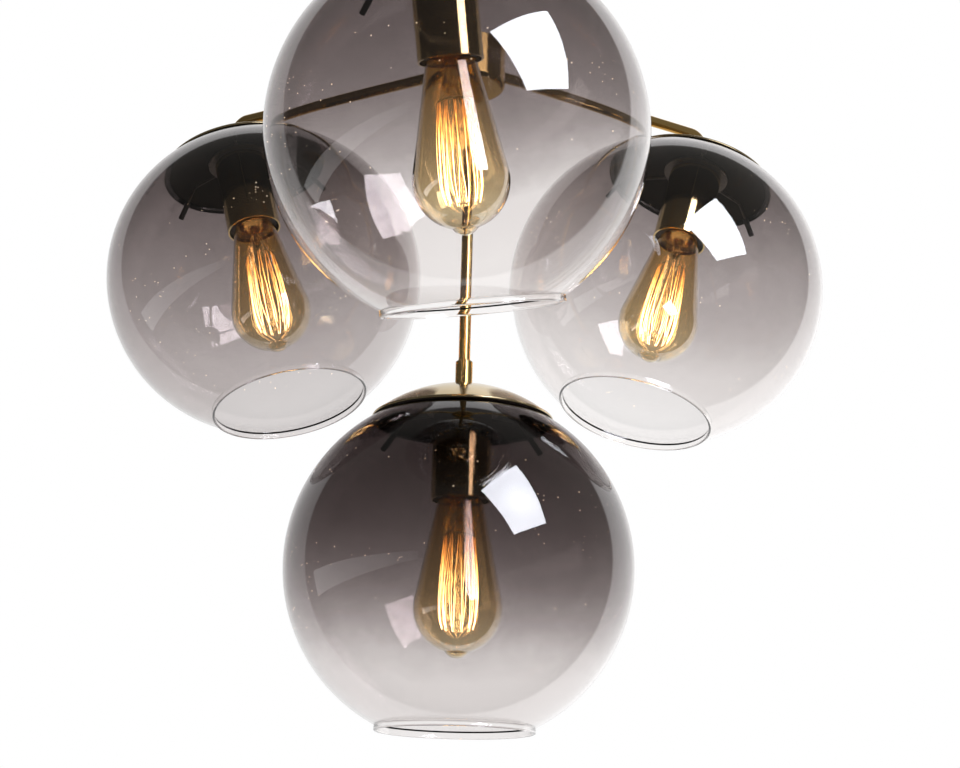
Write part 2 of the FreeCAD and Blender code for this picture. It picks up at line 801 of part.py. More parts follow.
def bulb_mount(name):
    """Glass stem: a flare in the throat, a pinched seal and a long rod with a button."""
    top = f"({BASE_FOOT} + throat_length - 2)"
    return turned_body(f"{name}_bulb_mount", [
        ("0", top),
        ("throat_radius - bulb_wall - slip_gap", top),
        ("rod_radius * 2.6", f"{top} - 9"),
        ("rod_radius * 2.2", f"{top} - 20"),
        ("rod_radius", f"{top} - 24"),
        ("rod_radius", f"{BULB_TIP} + cage_foot - 8"),
        ("rod_radius + 1", f"{BULB_TIP} + cage_foot - 10"),
        ("0", f"{BULB_TIP} + cage_foot - 12"),
    ])


def bulb_filament(name):
    """Cage of long thin strands, held out from the rod by legs above and below."""
    body = new_body(f"{name}_bulb_filament")
    top = f"({BULB_TIP} + cage_top)"
    foot = f"({BULB_TIP} + cage_foot)"
    collar = "(rod_radius + slip_gap)"
    for height in (top, foot):
        turn(body, draw(new_sketch(body, "XZ_Plane"), [
            (collar, f"{height} - 0.6"),
            (f"{collar} + 1", f"{height} - 0.6"),
            (f"{collar} + 1", f"{height} + 0.6"),
            (collar, f"{height} + 0.6"),
        ]))
    start = f"({collar} + 0.5)"
    path = draw(new_sketch(body, "XZ_Plane"), [
        (start, top),
        ("cage_radius - strand_bend", top, "strand_bend", -1),
        ("cage_radius", f"{top} - strand_bend"),
        ("cage_radius", f"{foot} + strand_bend", "strand_bend", -1),
        ("cage_radius - strand_bend", foot),
        (start, foot),
    ], closed=False)
    section = ring(new_sketch(body, "YZ_Plane", start), "0", top, "strand_radius")
    repeat_round(body, pipe(body, section, path), STRANDS)
    return body


def lamp(name, mouth, length, depth, place):
    """Everything that hangs from one coupler, put where the lamp stands."""
    made = [
        coupler(name, length, depth),
        cap(name),
        globe_clip(name),
        globe(name, mouth),
        socket_cup(name),
        lampholder(name),
        socket_shell(name),
        bulb_base(name),
        bulb_glass(name),
        bulb_mount(name),
        bulb_filament(name),
    ]
    for body in made:
        body.Placement = place


# ---------------------------------------------------------------- the whole fixture

def arm_place(spin, lean):
    """Frame of an arm: X runs out along it from the hub's axis, and lean rolls it about X."""
    level = FreeCAD.Placement(
        FreeCAD.Vector(0, 0, number(ARM_LEVEL)),
        FreeCAD.Rotation(FreeCAD.Vector(0, 0, 1), number(spin)),
    )
    roll = FreeCAD.Rotation(FreeCAD.Vector(1, 0, 0), number(lean))
    return level * FreeCAD.Placement(FreeCAD.Vector(), roll)


def lamp_place():
    """Frame of a lamp in its arm's frame: its top leans outward by the tilt."""
    return FreeCAD.Placement(
        FreeCAD.Vector(number(TRIO_RADIUS), 0, number(TRIO_DROP)),
        FreeCAD.Rotation(FreeCAD.Vector(0, 1, 0), number("tilt")),
    )


def build():
    fill_sheet()
    ceiling_bar()
    canopy()
    canopy_screws()
    swivel_fork()
    swivel_nut()
    swivel_pin()
    swivel_tongue()
    upper_stem()
    hub_shell(spin for spin, lean in ARMS.values())
    hub_lid()
    lower_stem()
    places = {}
    for name, (spin, lean) in ARMS.items():
        at = arm_place(spin, lean)
        arm(f"{name}_arm", at)
        places[name] = at * lamp_place()
        lamp(name, "trio_mouth", "collar_length", "arm_stub", places[name])
    places["bottom"] = FreeCAD.Placement(
        FreeCAD.Vector(0, 0, number(BOTTOM_HEIGHT)),
        FreeCAD.Rotation(FreeCAD.Vector(0, 0, 1), number("trio_turn")),
    )
    lamp("bottom", "bottom_mouth", "coupler_length", "coupler_length / 2", places["bottom"])
    clip_sleeves(places.values())
    lamp_nuts(places.values())
    doc.recompute()


def check():
    for item in doc.Objects:
        if {"Invalid", "Error"} & set(item.State):
            raise RuntimeError(f"{item.Label} failed: {item.State}")
    for piece in pieces:
        if piece.Shape.isNull() or not piece.Shape.isValid():
            raise RuntimeError(f"{piece.Label} has no sound shape")


def write():
    os.makedirs("parts", exist_ok=True)
    for piece in pieces:
        piece.Shape.exportStep(f"parts/{piece.Label}.step")


build()
check()
write()
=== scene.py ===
"""Cluster pendant: looks, light and camera, built around the solid model.

Metres, +Z up, the origin at the middle of the ceiling plane.  Each lamp has a frame of its own, taken
from its bulb's joint: the origin at the middle of the socket cup's mouth and +Z up the lamp's axis.
"""
import json
import math
import random

import bmesh
import bpy
from mathutils import Matrix, Vector

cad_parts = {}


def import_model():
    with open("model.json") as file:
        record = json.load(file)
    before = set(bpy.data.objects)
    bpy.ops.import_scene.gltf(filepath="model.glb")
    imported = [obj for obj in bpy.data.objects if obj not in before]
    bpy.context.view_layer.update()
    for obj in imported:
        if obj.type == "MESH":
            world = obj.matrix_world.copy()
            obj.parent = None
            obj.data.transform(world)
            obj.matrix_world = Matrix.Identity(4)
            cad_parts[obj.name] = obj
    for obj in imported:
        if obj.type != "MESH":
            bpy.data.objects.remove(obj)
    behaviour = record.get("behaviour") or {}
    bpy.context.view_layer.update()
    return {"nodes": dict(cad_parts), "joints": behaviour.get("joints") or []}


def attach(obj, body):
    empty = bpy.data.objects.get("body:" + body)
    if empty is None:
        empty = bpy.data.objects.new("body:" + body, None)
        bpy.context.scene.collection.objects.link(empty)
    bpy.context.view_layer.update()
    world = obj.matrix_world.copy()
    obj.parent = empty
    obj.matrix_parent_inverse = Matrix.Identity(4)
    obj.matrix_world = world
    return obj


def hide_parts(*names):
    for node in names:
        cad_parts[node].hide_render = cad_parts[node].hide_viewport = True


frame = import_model()

MM = 0.001
UP = Vector((0, 0, 1))
WHITE = (1.0, 1.0, 1.0)
LAMPS = ("front", "right", "left", "bottom")
STEEL_NODES = ("ceiling_bar", "swivel_nut", "lamp_nuts")
BRASS_NODES = (
    "canopy", "canopy_screws", "swivel_fork", "swivel_pin", "swivel_tongue", "upper_stem",
    "hub_shell", "hub_lid", "lower_stem", "front_arm", "right_arm", "left_arm",
)

# Sizes down to the filament's are in millimetres and degrees; heights are above a socket cup's mouth.

# Globe: its sphere, the hole at its top, and the lip at its foot with a bead round its edge.
GLOBE_CENTRE = -48.54
GLOBE_RADIUS = 125
GLOBE_WALL = 1.8
GLOBE_HOLE = 61
GLOBE_ARC_STEPS = 72
LIP_BEAD = 1.0
LIP_REACH = 4
LIP_RADIUS = {"front": 59.9, "right": 59.9, "left": 59.9, "bottom": 55.4}

# Grains in a globe's wall that glow as painted glints, in clusters wider than they are high.
# Levels are heights above the globe's middle.  A cluster's spread is a standard deviation, in radians
# round and millimetres up.
SEED_COUNT = 120
SEED_CLUSTER = 9
SEED_LEVELS = (-45, 65)
SEED_RADII = (0.12, 0.42)
CLUSTER_ANGLE = 0.28
CLUSTER_HEIGHT = 5

# Domed cap: the middle of its curve, and a radius between its outside and its near-black, dull underside.
DOME_CENTRE = -15.7
UNDERSIDE_RADIUS = 100.05
UNDERSIDE_EDGE = 0.1

# Bulb: a pip, a round belly and a taper up to its neck, which narrows to a throat inside the screw cap.
BULB_TIP = -113.5
BULB_PIP = 10.1
PIP_ARC = (-90, -32.7)
BULB_BELLY = 32
BELLY_HEIGHT = -78
BELLY_ARC = (-74.6, 11.65)
NECK_RADIUS = 16.6
THROAT_RADIUS = 12.2
THROAT_TOP = 9
BULB_WALL = 0.8
TAPER_STEPS = 8

# Screw cap of a bulb: a rolled thread that fades in and out, and an insulator with a contact at its top.
BASE_FOOT = 3
BASE_TOP = 29.5
BASE_RADIUS = 13.1
INSULATOR_DROP = 2.2
THREAD_PITCH = 3.629
THREAD_DEPTH = 0.95
THREAD_TURNS = 5
THREAD_FADE = 1.2
THREAD_STEPS = 24

# Filament: a cage of strands between hooks, narrower at its top and foot than its radius.
CAGE_TOP = -27
CAGE_FOOT = -93
CAGE_RADIUS = 14.4
CAGE_TOP_INSET = 3.4
CAGE_FOOT_INSET = 3.2
STRAND_RADIUS = 0.18
STRAND_STEPS = 12
HOOK_COUNT = 12
HOOK_RADIUS = 0.7
HOOK_STEPS = 6
SUPPORT_RADIUS = 0.18

# Index of refraction of the glass, and of the gloss on the bulbs.
GLASS_INDEX = 1.5
GLOSS_INDEX = 1.75

# Share of light that one wall of each globe lets through, by height in millimetres above its middle.
# The globes are one glass: their tables differ as painted light and shade, each lighter or darker as it is
# lit.
SMOKE = {
    "bottom": ((-112, 0.91), (-90, 0.91), (-70, 0.89), (-50, 0.74), (-30, 0.54), (-10, 0.44),
               (10, 0.33), (30, 0.25), (50, 0.21), (70, 0.20), (90, 0.17), (110, 0.13)),
    "front": ((-90, 1.0), (-70, 0.97), (-30, 0.93), (-10, 0.70), (10, 0.53), (30, 0.47),
              (50, 0.41), (70, 0.36), (110, 0.30)),
    "left": ((-90, 0.79), (-70, 0.76), (-50, 0.72), (-30, 0.69), (-10, 0.64), (10, 0.56),
             (30, 0.47), (50, 0.41), (70, 0.36), (90, 0.29), (110, 0.22)),
}

# The right globe's smoke is paler than the left one's by this factor: painted light on the same glass.
RIGHT_PAINTED_LIGHT = 1.28
SMOKE["right"] = [(height, min(1.0, RIGHT_PAINTED_LIGHT * share)) for height, share in SMOKE["left"]]

# Softboxes: how much of their glow shows on rough metal, and how much in reflections from inside a
# globe, whose light has crossed more glass surfaces than WALL_CROSSINGS.
GLOW_ON_METAL = 0.15
GLOW_IN_GLOBE = 2.2
WALL_CROSSINGS = 2.5

# Camera: its focal length and the picture's width in pixels, its sensor's width in millimetres, its
# place in metres, and its turns in degrees.
FOCAL_LENGTH = 1652.1
PICTURE_WIDTH = 960
SENSOR_WIDTH = 36
CAMERA_PLACE = (0, -1.1672, -0.98744)
CAMERA_YAW = -0.59
CAMERA_PITCH = 16.66
CAMERA_ROLL = 1.35

# The floor's height in metres, and how many glass surfaces and reflections light is followed through.
FLOOR_HEIGHT = -2.2
GLASS_BOUNCES = 40
MIRROR_BOUNCES = 8


# ---------------------------------------------------------------- shader nodes

def new_material(name):
    """A material with an empty node tree."""
    material = bpy.data.materials.new(name)
    material.use_nodes = True
    material.node_tree.nodes.clear()
    return material


def add(tree, kind, settings=None, **inputs):
    """A node with some of its settings and inputs; an input is a value or another node's socket."""
    item = tree.nodes.new(kind)
    for key, value in (settings or {}).items():
        setattr(item, key, value)
    for key, value in inputs.items():
        socket = item.inputs[int(key[1:])] if key[0] == "_" else item.inputs[key.replace("_", " ")]
        if isinstance(value, bpy.types.NodeSocket):
            tree.links.new(value, socket)
        else:
            socket.default_value = value
    return item


def output(tree, surface):
    """Make a shader the material's surface."""
    tree.links.new(surface, add(tree, "ShaderNodeOutputMaterial").inputs["Surface"])


def place(tree):
    """The point on the piece at rest, in metres."""
    return add(tree, "ShaderNodeTexCoord").outputs["Object"]


def scaled(tree, vector, scale):
    """A vector with each of its axes scaled; a pattern is drawn out along the smallest."""
    return add(tree, "ShaderNodeMapping", Vector=vector, Scale=scale).outputs["Vector"]


def noise(tree, vector, scale, detail=3, roughness=0.5, distortion=0):
    """Soft random pattern from 0 to 1; scale is its blotches to a metre."""
    return add(
        tree, "ShaderNodeTexNoise", Vector=vector,
        Scale=scale, Detail=detail, Roughness=roughness, Distortion=distortion,
    ).outputs["Fac"]


def math_node(tree, operation, first, second=0.0, clamp=False):
    """One operation on two values; clamp holds its result between 0 and 1."""
    return add(
        tree, "ShaderNodeMath", {"operation": operation, "use_clamp": clamp}, _0=first, _1=second,
    ).outputs[0]


def spread(tree, value, low, high, to_low=0.0, to_high=1.0):
    """The value's range from low to high, spread over another range and held within it."""
    return add(
        tree, "ShaderNodeMapRange", Value=value,
        From_Min=low, From_Max=high, To_Min=to_low, To_Max=to_high,
    ).outputs["Result"]


def ramp(tree, value, stops):
    """Colours at stops from 0 to 1, blended between them."""
    item = add(tree, "ShaderNodeValToRGB", Fac=value)
    band = item.color_ramp
    while len(band.elements) < len(stops):
        band.elements.new(0.5)
    for element, (spot, colour) in zip(band.elements, stops):
        element.position = spot
        element.color = (*colour, 1)
    return item.outputs["Color"]


def mix_colour(tree, share, first, second):
    """The first colour where the share is 0, the second where it is 1."""
    item = add(tree, "ShaderNodeMix", {"data_type": "RGBA"})
    # The node has sockets for every kind of value; inputs 6 and 7 and output 2 are its colours.
    for socket, value in ((item.inputs[0], share), (item.inputs[6], first), (item.inputs[7], second)):
        if isinstance(value, bpy.types.NodeSocket):
            tree.links.new(value, socket)
        else:
            socket.default_value = value if isinstance(value, float) else (*value, 1)
    return item.outputs[2]


def bump(tree, height, strength, distance):
    """The surface's direction over fine relief; distance is the relief's depth in metres."""
    return add(
        tree, "ShaderNodeBump", Height=height, Strength=strength, Distance=distance,
    ).outputs["Normal"]


def away_from(tree, spot):
    """The way from a spot to the shaded point."""
    return add(tree, "ShaderNodeVectorMath", {"operation": "SUBTRACT"}, _0=place(tree), _1=spot).outputs[0]


def axis_height(tree, lamp):
    """Height of the shaded point along a lamp's axis above its cup's mouth, in metres."""
    away = away_from(tree, lamp.to_translation())
    up = lamp.to_3x3() @ UP
    return add(tree, "ShaderNodeVectorMath", {"operation": "DOT_PRODUCT"}, _0=away, _1=up).outputs["Value"]


def distance_from(tree, spot):
    """How far the shaded point is from a spot, in metres."""
    away = away_from(tree, spot)
    return add(tree, "ShaderNodeVectorMath", {"operation": "LENGTH"}, _0=away).outputs["Value"]


# ---------------------------------------------------------------- metals and black mouldings

def brass(name, colour, dark, roughness, grain=(900, 900, 60)):
    """Lacquered brass: a fine drawn grain, slow changes in its colour and faint handling marks."""
    material = new_material(name)
    tree = material.node_tree
    spot = place(tree)
    blotch = noise(tree, spot, 14)
    grains = noise(tree, scaled(tree, spot, grain), 1, 4, 0.7)
    marks = noise(tree, spot, 170, 5, 0.75, 0.4)
    tone = mix_colour(tree, spread(tree, blotch, 0.35, 0.7), colour, dark)
    tone = mix_colour(tree, spread(tree, grains, 0.3, 0.75, 0.0, 0.2), tone, dark)
    wear = spread(tree, marks, 0.45, 0.8, roughness, roughness + 0.1)
    shader = add(
        tree, "ShaderNodeBsdfPrincipled", Base_Color=tone, Metallic=1.0,
        Roughness=math_node(tree, "ADD", wear, spread(tree, grains, 0.3, 0.7, -0.03, 0.03)),
        Normal=bump(tree, grains, 0.2, 0.01 * MM),
    )
    output(tree, shader.outputs[0])
    return material


def turned_brass(name, colour, dark, roughness, lamp, dark_underside=False):
    """Brass spun on a lathe, with fine rings about a lamp's axis; with the last flag set, a dome's underside
    is near black.
    """
    ring_width = 0.2 * MM
    material = new_material(name)
    tree = material.node_tree
    rings = add(
        tree, "ShaderNodeTexNoise", {"noise_dimensions": "1D"},
        W=math_node(tree, "DIVIDE", axis_height(tree, lamp), ring_width), Scale=1.0, Detail=2.0,
    ).outputs["Fac"]
    wander = noise(tree, place(tree), 30)
    smudge = noise(tree, place(tree), 90, 4, 0.65, 0.5)
    tone = mix_colour(tree, spread(tree, wander, 0.35, 0.7), colour, dark)
    tone = mix_colour(tree, spread(tree, rings, 0.35, 0.8, 0.0, 0.15), tone, dark)
    rough = math_node(
        tree, "ADD", spread(tree, rings, 0.3, 0.8, roughness - 0.03, roughness + 0.03),
        spread(tree, smudge, 0.45, 0.75, 0.0, 0.07),
    )
    metal = 1.0
    # Inside a radius from the dome's middle, the underside is made near black, dull and not metal.
    if dark_underside:
        depth = distance_from(tree, lamp @ Vector((0, 0, DOME_CENTRE * MM)))
        metal = spread(tree, depth, (UNDERSIDE_RADIUS - UNDERSIDE_EDGE) * MM, (UNDERSIDE_RADIUS + UNDERSIDE_EDGE) * MM)
        black = mix_colour(tree, wander, (0.020, 0.015, 0.010), (0.035, 0.027, 0.018))
        tone = mix_colour(tree, metal, black, tone)
        rough = math_node(tree, "ADD", rough, spread(tree, metal, 0, 1, 0.25, 0), clamp=True)
    shader = add(
        tree, "ShaderNodeBsdfPrincipled", Base_Color=tone, Metallic=metal, Roughness=rough,
        Specular_IOR_Level=0.1, Normal=bump(tree, rings, 0.15, 0.01 * MM),
    )
    output(tree, shader.outputs[0])
    return material


def plated_steel():
    """Dull grey plating with fine scuffs."""
    material = new_material("plated_steel")
    tree = material.node_tree
    scuffs = noise(tree, place(tree), 420, 5, 0.7)
    tone = mix_colour(tree, spread(tree, scuffs, 0.4, 0.75), (0.20, 0.18, 0.15), (0.11, 0.10, 0.09))
    shader = add(
        tree, "ShaderNodeBsdfPrincipled", Base_Color=tone, Metallic=1.0,
        Roughness=spread(tree, scuffs, 0.3, 0.8, 0.25, 0.45), Normal=bump(tree, scuffs, 0.2, 0.03 * MM),
    )
    output(tree, shader.outputs[0])
    return material


def soft_black(name, roughness, scale):
    """Moulded black: rubber sleeves, lampholders and the insulators of the bulbs' caps."""
    material = new_material(name)
    tree = material.node_tree
    pores = noise(tree, place(tree), scale, 5, 0.65)
    tone = mix_colour(tree, spread(tree, pores, 0.35, 0.75), (0.018, 0.017, 0.016), (0.034, 0.031, 0.028))
    shader = add(
        tree, "ShaderNodeBsdfPrincipled", Base_Color=tone,
        Roughness=spread(tree, pores, 0.3, 0.8, roughness - 0.08, roughness + 0.1),
        Normal=bump(tree, pores, 0.3, 0.05 * MM),
    )
    output(tree, shader.outputs[0])
    return material


# ---------------------------------------------------------------- glass and what glows in it

def glass(tree, tint, roughness, shadow, gloss=0.0):
    """Glass of a tint, with a gloss on it or none; what it shades is lit through it in the shadow's tint."""
    shader = add(
        tree, "ShaderNodeBsdfPrincipled",
        Base_Color=tint, Roughness=roughness, IOR=GLASS_INDEX, Transmission_Weight=1.0,
        Coat_Weight=gloss, Coat_IOR=GLOSS_INDEX,
    )
    through = add(tree, "ShaderNodeBsdfTransparent", Color=(*shadow, 1))
    path = add(tree, "ShaderNodeLightPath")
    output(tree, add(
        tree, "ShaderNodeMixShader",
        _0=path.outputs["Is Shadow Ray"], _1=shader.outputs[0], _2=through.outputs[0],
    ).outputs[0])


def smoke_tint(share):
    """Smoke glass's colour where a wall lets a share of red light through, and a little less of the rest."""
    dimmer = share ** 1.09
    return share, 0.977 * dimmer, 0.968 * dimmer


def smoke_glass(name, lamp, fade):
    """Blown glass with a cloudy smoke tint that fades down to clear."""
    material = new_material(f"{name}_smoke_glass")
    tree = material.node_tree
    spot = place(tree)
    height = math_node(tree, "SUBTRACT", axis_height(tree, lamp), GLOBE_CENTRE * MM)
    cloud = spread(tree, noise(tree, spot, 55, 4, 0.6, 0.6), 0.3, 0.7, -3 * MM, 3 * MM)
    drift = spread(tree, noise(tree, spot, 12, 2), 0.3, 0.7, -5 * MM, 5 * MM)
    height = math_node(tree, "ADD", height, math_node(tree, "ADD", cloud, drift))
    level = spread(tree, height, -GLOBE_RADIUS * MM, GLOBE_RADIUS * MM)
    stops = [((stop / GLOBE_RADIUS + 1) / 2, smoke_tint(share)) for stop, share in fade]
    glass(tree, ramp(tree, level, stops), 0.0, (0.75, 0.72, 0.72))
    return material


def amber_glass(name, lamp):
    """Thin, glossy, gold-tinted bulb glass; its deeper amber over the middle and neck is partly painted
    glow.
    """
    material = new_material(f"{name}_amber_glass")
    tree = material.node_tree
    film = spread(tree, noise(tree, place(tree), 45, 2), 0.3, 0.7, -6 * MM, 6 * MM)
    height = math_node(tree, "ADD", axis_height(tree, lamp), film)
    # Deeper amber from the middle up to the neck: partly the glass's tint, partly a painted glow of the
    # filament's light.
    tint = ramp(tree, spread(tree, height, BULB_TIP * MM, 0), [
        (0.0, (0.95, 0.88, 0.70)),
        (0.3, (0.93, 0.81, 0.58)),
        (0.7, (0.93, 0.79, 0.54)),
        (1.0, (0.88, 0.66, 0.36)),
    ])
    glass(tree, tint, 0.0, (0.92, 0.82, 0.6), gloss=1.0)
    return material


def clear_glass():
    """Drawn glass of the rod that holds the filament."""
    material = new_material("clear_glass")
    tree = material.node_tree
    drawn = noise(tree, scaled(tree, place(tree), (1, 1, 0.2)), 300, 2)
    glass(tree, mix_colour(tree, drawn, (0.96, 0.93, 0.86), (0.92, 0.88, 0.8)), 0.02, (0.95, 0.92, 0.85))
    return material


def painted_glint_grain():
    """Pale gold grains that glow as a painted glint of the filaments' light in the smoked glass."""
    material = new_material("painted_glint_grain")
    tree = material.node_tree
    tone = mix_colour(tree, noise(tree, place(tree), 60, 1), (1.0, 0.70, 0.36), (1.0, 0.90, 0.78))
    # The glow is a painted glint: the grains shine like lamps, standing for the filaments' light caught in
    # the glass.
    shader = add(
        tree, "ShaderNodeBsdfPrincipled", Base_Color=tone, Roughness=0.2,
        Emission_Color=tone, Emission_Strength=2.0,
    )
    output(tree, shader.outputs[0])
    return material


def hot_wire(name, lamp):
    """Glowing filament: dull orange at its top hooks, yellow white lower down."""
    material = new_material(f"{name}_hot_wire")
    tree = material.node_tree
    patch = spread(tree, noise(tree, place(tree), 160, 3, 0.6), 0.3, 0.7, -8 * MM, 8 * MM)
    height = math_node(tree, "ADD", axis_height(tree, lamp), patch)
    level = spread(tree, height, CAGE_FOOT * MM, CAGE_TOP * MM)
    colour = ramp(tree, level, [
        (0.0, (1.0, 0.72, 0.40)),
        (0.5, (1.0, 0.64, 0.30)),
        (0.8, (1.0, 0.45, 0.12)),
        (1.0, (0.8, 0.26, 0.04)),
    ])
    glow_stops = ((0.0, 0.55), (0.5, 0.5), (0.8, 0.2), (1.0, 0.07))
    glow = ramp(tree, level, [(stop, (share, share, share)) for stop, share in glow_stops])
    coil = add(
        tree, "ShaderNodeTexWave", {"wave_type": "BANDS", "bands_direction": "Z"},
        Vector=place(tree), Scale=900.0, Distortion=0.5,
    ).outputs["Fac"]
    power = math_node(tree, "MULTIPLY", glow, spread(tree, coil, 0, 1, 20, 28))
    shader = add(
        tree, "ShaderNodeBsdfPrincipled", Base_Color=(0.25, 0.2, 0.16, 1), Metallic=1.0, Roughness=0.45,
        Emission_Color=colour, Emission_Strength=power,
    )
    output(tree, shader.outputs[0])
    # The wires are too thin to be sampled as lamps, which would only make the picture grainy.
    material.cycles.emission_sampling = "NONE"
    return material


# ---------------------------------------------------------------- meshes

def mesh_of(build, name):
    """The finished mesh, under its name."""
    mesh = bpy.data.meshes.new(name)
    build.to_mesh(mesh)
    build.free()
    return mesh


def new_piece(name, mesh, material, body):
    """A visible piece that moves with a body of the model and has one of its named finishes."""
    piece = bpy.data.objects.new(name, mesh)
    bpy.context.scene.collection.objects.link(piece)
    mesh.materials.append(material)
    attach(piece, body)
    return piece


def smooth(mesh, angle=35):
    """Shade the mesh smooth, with its creases above an angle in degrees kept sharp."""
    mesh.polygons.foreach_set("use_smooth", [True] * len(mesh.polygons))
    mesh.set_sharp_from_angle(angle=math.radians(angle))
    return mesh


def angle_at(reach, radius):
    """Angle in degrees from straight out at which an arc of that radius comes to a reach from its axis."""
    return math.degrees(math.acos(reach / radius))


def arc(centre_height, radius, start, end, count, centre_radius=0):
    """Points of (radius, height) round an arc; 0 degrees is straight out and 90 straight up."""
    points = []
    for step in range(count + 1):
        angle = math.radians(start + (end - start) * step / count)
        points.append((centre_radius + radius * math.cos(angle), centre_height + radius * math.sin(angle)))
    return points


def inward(outline, wall):
    """The outline moved to its inner side by a wall's thickness."""
    moved = []
    for index, (radius, height) in enumerate(outline):
        before = outline[max(index - 1, 0)]
        after = outline[min(index + 1, len(outline) - 1)]
        along = Vector((after[0] - before[0], after[1] - before[1])).normalized()
        if radius == 0:
            along = Vector((1, 0))
        moved.append((radius - along.y * wall, height + along.x * wall))
    return moved


def lathe(name, outline, lamp, segments=192, groove=None):
    """Turn an outline of (radius, height) in millimetres about a lamp's axis.

    groove(angle, height) is how deep the surface lies below the outline there.
    """
    build = bmesh.new()
    rings = []
    for radius, height in outline:
        if radius < 1e-6:
            rings.append([build.verts.new((0, 0, height * MM))])
            continue
        ring = []
        for step in range(segments):
            angle = 2 * math.pi * step / segments
            reach = (radius - (groove(angle, height) if groove else 0)) * MM
            ring.append(build.verts.new((reach * math.cos(angle), reach * math.sin(angle), height * MM)))
        rings.append(ring)
    for low, high in zip(rings, rings[1:]):
        for step in range(segments):
            after = (step + 1) % segments
            corners = [
                low[step % len(low)], low[after % len(low)],
                high[after % len(high)], high[step % len(high)],
            ]
            build.faces.new(dict.fromkeys(corners))
    bmesh.ops.remove_doubles(build, verts=build.verts, dist=1e-7)
    bmesh.ops.recalc_face_normals(build, faces=build.faces)
    mesh = mesh_of(build, name)
    mesh.transform(lamp)
    return smooth(mesh)


def wires(name, lines, radius, lamp):
    """Round wires along lines of points in millimetres."""
    curve = bpy.data.curves.new(name, "CURVE")
    curve.dimensions = "3D"
    curve.bevel_depth = radius * MM
    curve.bevel_resolution = 1
    curve.use_fill_caps = True
    for line in lines:
        spline = curve.splines.new("POLY")
        spline.points.add(len(line) - 1)
        for point, spot in zip(spline.points, line):
            point.co = (*(Vector(spot) * MM), 1)
    holder = bpy.data.objects.new(name, curve)
    bpy.context.scene.collection.objects.link(holder)
    bpy.context.view_layer.update()
    mesh = bpy.data.meshes.new_from_object(holder.evaluated_get(bpy.context.evaluated_depsgraph_get()))
    bpy.data.objects.remove(holder)
    bpy.data.curves.remove(curve)
    mesh.name = name
    mesh.transform(lamp)
    mesh.materials.clear()
    return smooth(mesh)


# ---------------------------------------------------------------- the globe

def globe(name, lamp, material):
    """Blown globe: a ground hole at its top, and a short straight neck with a round lip at its foot."""
    lip = LIP_RADIUS[name]
    half = GLOBE_WALL / 2
    inner_radius = GLOBE_RADIUS - GLOBE_WALL
    lip_height = GLOBE_CENTRE - math.sqrt((GLOBE_RADIUS - half) ** 2 - lip ** 2) - LIP_REACH
    outside = arc(
        GLOBE_CENTRE, GLOBE_RADIUS,
        angle_at(GLOBE_HOLE, GLOBE_RADIUS), -angle_at(lip + half, GLOBE_RADIUS), GLOBE_ARC_STEPS)
    inside = arc(
        GLOBE_CENTRE, inner_radius,
        -angle_at(lip - half, inner_radius), angle_at(GLOBE_HOLE, inner_radius), GLOBE_ARC_STEPS)
    gap = angle_at(half, LIP_BEAD)
    bead = arc(lip_height, LIP_BEAD, gap, -180 - gap, count=20, centre_radius=lip)
    outline = outside + bead + inside + outside[:1]
    piece = new_piece(
        f"{name}_globe_glass", lathe(f"{name}_globe_glass", outline, lamp), material,
        "fixture")
    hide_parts(f"{name}_globe")


def seeds(name, lamp, material):
    """Tiny grains on the inner side of the globe's wall, in short level bands, that glow as painted glints.
    """
    draw = random.Random(f"{name} seeds")
    build = bmesh.new()
    for first in range(0, SEED_COUNT, SEED_CLUSTER):
        heart = draw.uniform(0, 2 * math.pi)
        level = draw.uniform(*SEED_LEVELS)
        for _ in range(min(SEED_CLUSTER, SEED_COUNT - first)):
            angle = heart + draw.gauss(0, CLUSTER_ANGLE)
            height = level + draw.gauss(0, CLUSTER_HEIGHT)
            reach = math.sqrt((GLOBE_RADIUS - GLOBE_WALL) ** 2 - height ** 2)
            spot = Vector((reach * math.cos(angle), reach * math.sin(angle), GLOBE_CENTRE + height)) * MM
            bmesh.ops.create_icosphere(
                build, subdivisions=1, radius=draw.uniform(*SEED_RADII) * MM,
                matrix=Matrix.Translation(spot))
    mesh = mesh_of(build, f"{name}_globe_seeds")
    mesh.transform(lamp)
    new_piece(f"{name}_globe_seeds", smooth(mesh, 180), material, "fixture")


# ---------------------------------------------------------------- the bulb

def bulb_glass(name, lamp, material):
    """Teardrop bulb: a pip at its tip, a round belly and a straight taper up to the neck."""
    outside = arc(BULB_TIP + BULB_PIP, BULB_PIP, *PIP_ARC, count=10)[:-1]
    outside += arc(BELLY_HEIGHT, BULB_BELLY, *BELLY_ARC, count=32)
    foot_radius, foot_height = outside[-1]
    for step in range(1, TAPER_STEPS + 1):
        share = step / TAPER_STEPS
        outside.append((foot_radius + (NECK_RADIUS - foot_radius) * share, foot_height * (1 - share)))
    outside += [(NECK_RADIUS - 2, 1.6), (THROAT_RADIUS, 2.8), (THROAT_RADIUS, THROAT_TOP)]
    outside[0] = (0, BULB_TIP)
    inside = inward(outside, BULB_WALL)
    outline = outside + inside[::-1]
    piece = new_piece(
        f"{name}_bulb_envelope", lathe(f"{name}_bulb_envelope", outline, lamp, segments=128), material,
        f"{name}_bulb")
    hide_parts(f"{name}_bulb_glass")


def thread(angle, height):
    """Depth of the rolled thread below its crests; it rises one pitch a turn and fades at its ends."""
    foot = BASE_FOOT + THREAD_FADE
    top = foot + THREAD_TURNS * THREAD_PITCH
    fade = max(0, min(1, (height - foot) / THREAD_FADE, (top - height) / THREAD_FADE))
    phase = 2 * math.pi * (height - foot) / THREAD_PITCH - angle
    return THREAD_DEPTH * fade * (0.5 - 0.5 * math.cos(phase))


